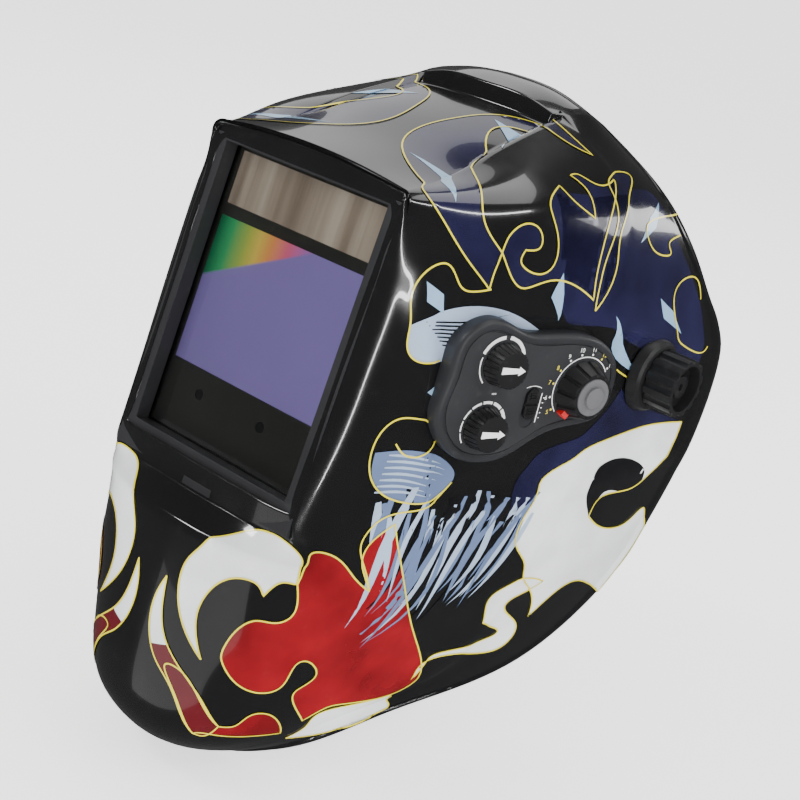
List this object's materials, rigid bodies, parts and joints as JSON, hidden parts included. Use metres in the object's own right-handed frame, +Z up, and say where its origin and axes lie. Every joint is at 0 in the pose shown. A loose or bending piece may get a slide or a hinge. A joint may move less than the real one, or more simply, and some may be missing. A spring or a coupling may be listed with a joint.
{
  "type": "welding helmet",
  "caption": "Flip-up auto-darkening welding helmet: gloss shell with a framed leaning window, side control pod with dials, pivot tension knobs and ratchet headgear inside.",
  "frame": {"origin": "middle of the tilt axis, between the two side pivots, inside the head opening", "axes": "+X to the wearer's left, +Y to the back of the head, +Z up, helmet lowered as worn; the window faces -Y"},
  "size_m": [0.2556, 0.3127, 0.344],
  "materials": {
    "shell_black": "high gloss, painted",
    "trim_charcoal": "satin",
    "lens_clear": "clear polycarbonate",
    "filter_body": "matte",
    "lcd_purple": "coated",
    "solar_brown": "gloss",
    "sensor_dark": "gloss",
    "pod_grey": "satin",
    "label_grey": "satin, printed scales",
    "mark_white": "printed",
    "mark_red": "gloss",
    "knob_black": "satin",
    "cap_grey": "satin",
    "seal_rubber": "matte",
    "board_green": "satin",
    "steel": "satin",
    "nylon_white": "matte",
    "gear_black": "matte",
    "pad_fabric": "woven over foam",
    "cable_black": "matte"
  },
  "bodies": {
    "headgear": {"headband": "gear_black", "sweatband": "pad_fabric", "side_carrier_right": "gear_black", "side_carrier_left": "gear_black", "crown_strap_front": "gear_black", "crown_strap_rear": "gear_black"},
    "nape": {"nape_band": "gear_black", "nape_pad": "pad_fabric", "ratchet_case": "gear_black"},
    "ratchet": {"ratchet_knob": "knob_black", "ratchet_pinion": "nylon_white"},
    "pivots": {"pivot_slider_right": "gear_black", "pivot_slider_left": "gear_black", "pivot_stud_right": "steel", "pivot_stud_left": "steel", "stop_plate_right": "gear_black", "stop_plate_left": "gear_black", "friction_washer_right": "nylon_white", "friction_washer_left": "nylon_white"},
    "tension_right": {"tension_knob_right": "knob_black"},
    "tension_left": {"tension_knob_left": "knob_black"},
    "shell": {"shell": "shell_black", "brow_trim": "trim_charcoal", "front_frame": "trim_charcoal", "frame_latch": "trim_charcoal", "cover_lens": "lens_clear", "filter_tray": "trim_charcoal", "filter_housing": "filter_body", "lcd_filter": "lcd_purple", "solar_panel": "solar_brown", "arc_sensor_1": "sensor_dark", "arc_sensor_2": "sensor_dark", "inner_lens": "lens_clear", "pod_housing": "pod_grey", "pod_gasket": "seal_rubber", "pod_label": "label_grey", "pod_inner_cover": "gear_black", "control_board": "board_green", "pod_screw_1": "steel", "pod_screw_2": "steel", "pod_screw_3": "steel", "pod_screw_4": "steel", "sensitivity_dial": "steel", "delay_dial": "steel", "shade_dial": "steel", "range_switch_base": "knob_black", "filter_cable": "cable_black"},
    "bail": {"filter_bail": "steel"},
    "battery_right": {"battery_tray_right": "filter_body", "coin_cell_right": "steel"},
    "battery_left": {"battery_tray_left": "filter_body", "coin_cell_left": "steel"},
    "sensitivity": {"sensitivity_knob": "knob_black", "sensitivity_arrow": "mark_white"},
    "delay": {"delay_knob": "knob_black", "delay_arrow": "mark_white"},
    "shade": {"shade_knob": "knob_black", "shade_cap": "cap_grey", "shade_pointer": "mark_red"},
    "switch": {"range_switch": "knob_black"}
  },
  "joints": [
    {"name": "nape_adjust", "type": "slide", "parent": "headgear", "child": "nape", "axis": [0, 0.9732, -0.23], "range_m": [-0.008, 0.01]},
    {"name": "ratchet_spin", "type": "hinge", "parent": "nape", "child": "ratchet", "pos_m": [0, 0.11123, -0.01137], "axis": [0, 0.9732, -0.23], "range_deg": [-95, 120]},
    {"name": "fore_aft", "type": "slide", "parent": "headgear", "child": "pivots", "axis": [0, 1, 0], "range_m": [-0.008, 0.008]},
    {"name": "tilt", "type": "hinge", "parent": "pivots", "child": "shell", "pos_m": [0, 0, 0], "axis": [-1, 0, 0], "range_deg": [0, 75]},
    {"name": "tension_right_spin", "type": "hinge", "parent": "pivots", "child": "tension_right", "pos_m": [-0.12, 0, 0], "axis": [-1, 0, 0], "range_deg": [-360, 360]},
    {"name": "tension_left_spin", "type": "hinge", "parent": "pivots", "child": "tension_left", "pos_m": [0.12, 0, 0], "axis": [1, 0, 0], "range_deg": [-360, 360]},
    {"name": "bail_swing", "type": "hinge", "parent": "shell", "child": "bail", "pos_m": [0, -0.13025, 0.05986], "axis": [1, 0, 0], "range_deg": [0, 35]},
    {"name": "battery_right_slide", "type": "slide", "parent": "shell", "child": "battery_right", "axis": [0, -0.1736, -0.9848], "range_m": [0, 0.024]},
    {"name": "battery_left_slide", "type": "slide", "parent": "shell", "child": "battery_left", "axis": [0, -0.1736, -0.9848], "range_m": [0, 0.024]},
    {"name": "sensitivity_turn", "type": "hinge", "parent": "shell", "child": "sensitivity", "pos_m": [0.09308, -0.10794, 0.0093], "axis": [0.9659, -0.2588, 0], "range_deg": [0, 270]},
    {"name": "delay_turn", "type": "hinge", "parent": "shell", "child": "delay", "pos_m": [0.09256, -0.10988, -0.0204], "axis": [0.9659, -0.2588, 0], "range_deg": [0, 270]},
    {"name": "shade_turn", "type": "hinge", "parent": "shell", "child": "shade", "pos_m": [0.10597, -0.05984, -0.0024], "axis": [0.9659, -0.2588, 0], "range_deg": [-200, 0]},
    {"name": "range_slide", "type": "slide", "parent": "shell", "child": "switch", "axis": [0, 0, -1], "range_m": [0, 0.0034]}
  ],
  "couplings": [
    {"joint": "ratchet_spin", "follows": "nape_adjust", "rad_per_m": 200}
  ]
}
